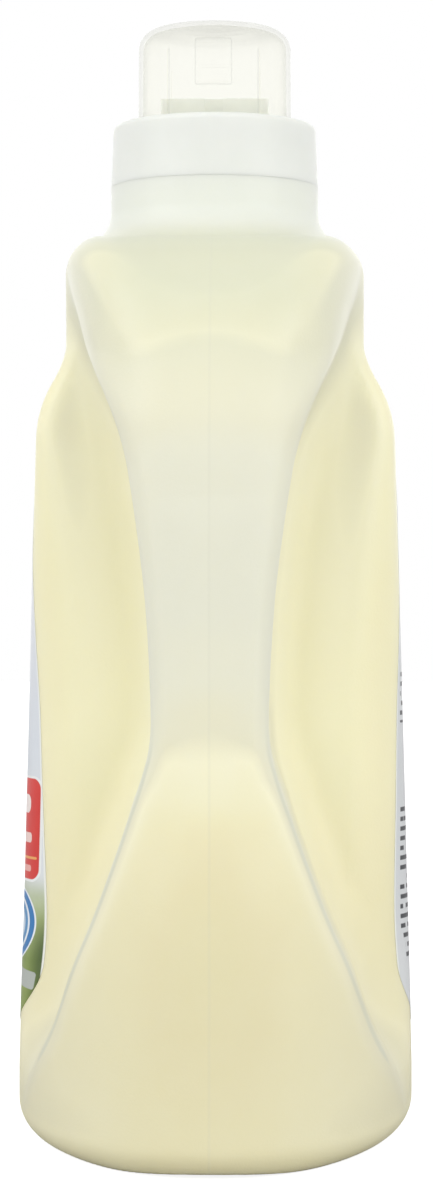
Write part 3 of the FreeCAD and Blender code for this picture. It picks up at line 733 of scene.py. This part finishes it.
def back_material():
    n = Nodes("back_film")
    place, x, y, z = n.place()
    way = edge_way(n, x, z, BACK["near_low"], BACK["near_high"])
    cloud = n.noise(place, 0.03, 3.0, 0.55)
    c = n.ramp(cloud, [(0.2, srgb(206, 209, 211)), (0.8, srgb(222, 224, 226))])
    # rows of plain bars in three blocks, in lines 2.7 mm apart
    row = n.math("FLOOR", n.math("DIVIDE", z, 2.7))
    part = n.math("FRACT", n.math("DIVIDE", z, 2.7))
    bar = n.math("MULTIPLY", n.span(part, 0.16, 0.26), n.math("SUBTRACT", 1.0, n.span(part, 0.62, 0.72)))
    v = n.add("ShaderNodeCombineXYZ")
    n.link(n.math("DIVIDE", x, 5.5), v.inputs[0])
    n.link(n.math("MULTIPLY", row, 7.31), v.inputs[1])
    gap = n.add("ShaderNodeTexNoise", noise_dimensions="2D")
    n.link(v.outputs[0], gap.inputs["Vector"])
    gap.inputs["Scale"].default_value = 1.6
    gap.inputs["Detail"].default_value = 0.0
    bar = n.math("MULTIPLY", bar, n.span(gap.outputs["Fac"], 0.33, 0.37))
    blocks = n.math(
        "MAXIMUM",
        box_mask(n, way, z, 42.0, 67.0, 39.6, 21.6, 0.5),
        n.math(
            "MAXIMUM",
            box_mask(n, way, z, 30.0, 119.0, 27.8, 7.2, 0.5),
            box_mask(n, x, z, -44.0, 153.0, 20.0, 10.5, 0.5),
        ),
    )
    c = n.mix(n.math("MULTIPLY", bar, blocks), c, (*srgb(60, 62, 66), 1.0))
    c = n.mix(n.span(way, 0.5, 0.2), c, (*srgb(238, 240, 236), 1.0))
    return film_shader(n, c, place)


wear(front, front_material())
wear(back, back_material())


# ------------------------------------------------------- closure and the liquid
def spout_material():
    n = Nodes("spout_plastic")
    place, x, y, z = n.place()
    cloud = n.noise(place, 0.08, 3.0, 0.55)
    tint = n.mix(cloud, (*srgb(234, 237, 228), 1.0), (*srgb(242, 244, 237), 1.0))
    shader = n.principled(
        Base_Color=tint,
        Roughness=n.math("MULTIPLY_ADD", cloud, 0.15, 0.30),
        IOR=1.5,
        Subsurface_Weight=0.4,
        Subsurface_Radius=(1.0, 0.95, 0.85),
        Subsurface_Scale=0.004,
        Normal=n.bump(n.noise(place, 1.5, 2.0, 0.5), 0.1, 0.0002),
    )
    n.link(shader.outputs[0], n.out.inputs[0])
    return n.mat


def cup_material():
    n = Nodes("cup_plastic")
    place, x, y, z = n.place()
    haze = n.noise(place, 0.15, 3.0, 0.5)
    clear = n.add("ShaderNodeBsdfTransparent")
    clear.inputs[0].default_value = (*srgb(254, 254, 252), 1.0)
    milk = n.principled(
        Roughness=n.math("MULTIPLY_ADD", haze, 0.1, 0.12),
        IOR=1.49,
        Specular_IOR_Level=0.15,
        Normal=n.bump(haze, 0.08, 0.0004),
    )
    facing = n.add("ShaderNodeLayerWeight")
    facing.inputs["Blend"].default_value = 0.25
    away = facing.outputs["Facing"]
    amount = n.math("MULTIPLY_ADD", away, 0.10, 0.01)
    amount = n.math("ADD", amount, n.math("MULTIPLY", haze, 0.02))
    amount = n.math("ADD", amount, n.math("MULTIPLY", n.math("POWER", away, 3.0), 0.6))
    # the ribs' and the frame's edges catch the light as thin lines
    ends = n.span(n.math("SUBTRACT", x, NECK_X), 8.0, 10.0)
    frame_line = n.math(
        "SUBTRACT",
        box_mask(n, y, z, 0.0, 291.95, 5.1, 6.35, 0.6, 0.1),
        box_mask(n, y, z, 0.0, 291.95, 4.7, 5.95, 0.4, 0.1),
    )
    side = n.math("ABSOLUTE", y)
    rib = n.math("SUBTRACT", 1.0, n.span(n.math("ABSOLUTE", n.math("SUBTRACT", side, 12.1)), 0.1, 0.3))
    rib = n.math("MULTIPLY", rib, n.span(z, 297.0, 295.5))
    lines = n.math("MULTIPLY", n.math("MAXIMUM", frame_line, rib), ends)
    amount = n.math("ADD", amount, n.math("MULTIPLY", lines, 0.08))
    # painted shade: the wall's own edge, seen edge-on, and the ribs' and frame's lines show as a thin grey
    # line
    edge = n.math("MAXIMUM", n.span(away, 0.3, 0.6), lines)
    tone = n.mix(edge, (*srgb(254, 253, 248), 1.0), (*srgb(186, 189, 184), 1.0))
    n.link(tone, milk.inputs["Base Color"])
    mix = n.add("ShaderNodeMixShader")
    n.link(amount, mix.inputs[0])
    n.link(clear.outputs[0], mix.inputs[1])
    n.link(milk.outputs[0], mix.inputs[2])
    n.link(mix.outputs[0], n.out.inputs[0])
    return n.mat


def liquid_material():
    n = Nodes("liquid")
    place, x, y, z = n.place()
    cloud = n.noise(place, 0.05, 3.0, 0.5)
    tint = n.mix(cloud, (*srgb(240, 232, 180), 1.0), (*srgb(246, 240, 198), 1.0))
    shader = n.principled(
        Base_Color=tint,
        Roughness=0.06,
        IOR=1.34,
        Subsurface_Weight=0.5,
        Subsurface_Radius=(1.0, 0.9, 0.5),
        Subsurface_Scale=0.006,
        Normal=n.bump(n.noise(place, 0.04, 2.0, 0.5), 0.2, 0.0005),
    )
    n.link(shader.outputs[0], n.out.inputs[0])
    return n.mat


def node_object(name):
    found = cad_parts[name]
    return found if not isinstance(found, str) else bpy.data.objects[found]


for node, mat in (
    ("pour_spout", spout_material()),
    ("dosing_cup", cup_material()),
    ("detergent", liquid_material()),
):
    obj = node_object(node)
    if not obj.material_slots:
        obj.data.materials.append(mat)
    for s in obj.material_slots:
        s.material = mat

# -------------------------------------------------------- stage, light, camera
world = bpy.data.worlds.new("studio")
bpy.context.scene.world = world
world.use_nodes = True
tree = world.node_tree
tree.nodes.clear()
out = tree.nodes.new("ShaderNodeOutputWorld")
seen = tree.nodes.new("ShaderNodeBackground")
seen.inputs[0].default_value = (1, 1, 1, 1)
seen.inputs[1].default_value = 1.0
soft = tree.nodes.new("ShaderNodeBackground")
soft.inputs[1].default_value = 1.36
# the room's soft light: brightest in front of the handle
place = tree.nodes.new("ShaderNodeTexCoord")
parts = tree.nodes.new("ShaderNodeSeparateXYZ")
tree.links.new(place.outputs["Generated"], parts.inputs[0])
room = tree.nodes.new("ShaderNodeValToRGB")
half = tree.nodes.new("ShaderNodeMath")
half.operation = "MULTIPLY_ADD"
half.inputs[1].default_value, half.inputs[2].default_value = 0.5, 0.5
tree.links.new(parts.outputs[0], half.inputs[0])
tree.links.new(half.outputs[0], room.inputs[0])
room.color_ramp.elements[0].position, room.color_ramp.elements[0].color = 0.35, (0.74, 0.74, 0.74, 1)
room.color_ramp.elements[1].position, room.color_ramp.elements[1].color = 0.95, (1.0, 1.0, 1.0, 1)
high = tree.nodes.new("ShaderNodeMath")
high.operation = "MULTIPLY_ADD"
high.inputs[1].default_value, high.inputs[2].default_value = 0.5, 0.5
tree.links.new(parts.outputs[2], high.inputs[0])
above = tree.nodes.new("ShaderNodeValToRGB")
above.color_ramp.elements[0].position, above.color_ramp.elements[0].color = 0.6, (1.0, 1.0, 1.0, 1)
above.color_ramp.elements[1].position, above.color_ramp.elements[1].color = 1.0, (0.5, 0.5, 0.5, 1)
tree.links.new(high.outputs[0], above.inputs[0])
both = tree.nodes.new("ShaderNodeMix")
both.data_type = "RGBA"
both.blend_type = "MULTIPLY"
both.inputs[0].default_value = 1.0
tree.links.new(room.outputs[0], both.inputs[6])
tree.links.new(above.outputs[0], both.inputs[7])
tree.links.new(both.outputs[2], soft.inputs[0])
path = tree.nodes.new("ShaderNodeLightPath")
mix = tree.nodes.new("ShaderNodeMixShader")
tree.links.new(path.outputs["Is Camera Ray"], mix.inputs[0])
tree.links.new(soft.outputs[0], mix.inputs[1])
tree.links.new(seen.outputs[0], mix.inputs[2])
tree.links.new(mix.outputs[0], out.inputs[0])


def lamp(name, at, aim, size, power, colour=(1, 1, 1)):
    data = bpy.data.lights.new(name, "AREA")
    data.shape = "RECTANGLE"
    data.size, data.size_y = size
    data.energy = power
    data.color = colour
    obj = bpy.data.objects.new(name, data)
    bpy.context.scene.collection.objects.link(obj)
    from mathutils import Vector

    obj.location = at
    way = Vector(aim) - Vector(at)
    obj.rotation_euler = way.to_track_quat("-Z", "Y").to_euler()
    return obj


lamp("key", (0.55, -0.95, 0.75), (0, 0, 0.15), (0.7, 1.0), 2.9)
lamp("fill", (0.7, 0.95, 0.4), (0, 0, 0.15), (0.8, 1.0), 2.7)
lamp("top", (0.0, 0.0, 1.2), (0, 0, 0.1), (0.9, 0.9), 0.4)
lamp("rear", (-1.0, 0.0, 0.5), (0, 0, 0.15), (1.0, 0.9), 1.5)

floor_mesh = bpy.data.meshes.new("floor")
floor_mesh.from_pydata([(-4, -4, 0), (4, -4, 0), (4, 4, 0), (-4, 4, 0)], [], [(0, 1, 2, 3)])
floor = bpy.data.objects.new("floor", floor_mesh)
bpy.context.scene.collection.objects.link(floor)
n = Nodes("floor")
shader = n.principled(Base_Color=(0.5, 0.5, 0.5, 1.0), Roughness=0.9)
glow = n.add("ShaderNodeEmission")
glow.inputs[0].default_value = (1, 1, 1, 1)
glow.inputs[1].default_value = 0.85
both = n.add("ShaderNodeAddShader")
n.link(shader.outputs[0], both.inputs[0])
n.link(glow.outputs[0], both.inputs[1])
seen = n.add("ShaderNodeLightPath")
pick = n.add("ShaderNodeMixShader")
n.link(seen.outputs["Is Camera Ray"], pick.inputs[0])
n.link(shader.outputs[0], pick.inputs[1])
n.link(both.outputs[0], pick.inputs[2])
n.link(pick.outputs[0], n.out.inputs[0])
floor.data.materials.append(n.mat)

cam_data = bpy.data.cameras.new("camera")
cam_data.sensor_fit = "VERTICAL"
cam_data.sensor_height = 36.0
cam_data.sensor_width = 36.0 * 433 / 1200
cam_data.lens = 90.0
cam = bpy.data.objects.new("camera", cam_data)
bpy.context.scene.collection.objects.link(cam)
TURN_BY = math.radians(1.0)
DIST = 0.860
centre = (-0.0126, 0.0)
cam.location = (centre[0] + DIST * math.cos(TURN_BY), centre[1] + DIST * math.sin(TURN_BY), 0.149)
cam.rotation_euler = (math.radians(90.0 - 0.19), 0.0, math.radians(90.0) + TURN_BY)
bpy.context.scene.camera = cam

scene = bpy.context.scene
scene.view_settings.view_transform = "Standard"
scene.view_settings.look = "None"
scene.cycles.use_denoising = True
